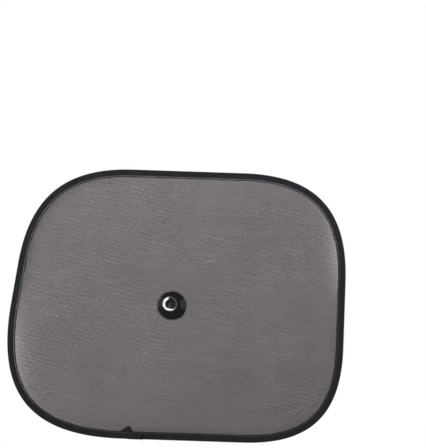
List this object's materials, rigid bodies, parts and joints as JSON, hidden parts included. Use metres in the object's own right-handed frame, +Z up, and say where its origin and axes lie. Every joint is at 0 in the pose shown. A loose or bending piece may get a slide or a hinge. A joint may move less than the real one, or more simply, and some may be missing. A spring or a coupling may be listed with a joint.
{
  "type": "car side window sunshade",
  "caption": "Pop-up mesh shade that blocks sun at a car side window, with a sprung wire hoop in a sewn tape edge and a suction cup on the glass side.",
  "frame": {"origin": "centre of the suction cup's lip, in the plane that seals on the window glass", "axes": "+X along the long side, to the right as the glass side is seen with the tape's seam at the bottom; +Z up; -Y out of the cup, at the glass"},
  "size_m": [0.4398, 0.0149, 0.3527],
  "materials": {
    "net": "fine black polyester net, about five sixths closed",
    "tape": "woven black polyester binding tape, matt",
    "wire": "drawn spring steel, lightly oiled",
    "ferrule": "crimped, satin",
    "cup": "glossy soft black PVC",
    "eyelet": "satin black moulded plastic"
  },
  "bodies": {
    "root": {"mesh_panel": "net", "edge_binding": "tape", "spring_hoop": "wire", "hoop_ferrule": "ferrule", "suction_cup": "cup", "eyelet_barrel": "eyelet", "eyelet_washer": "eyelet"}
  },
  "joints": []
}
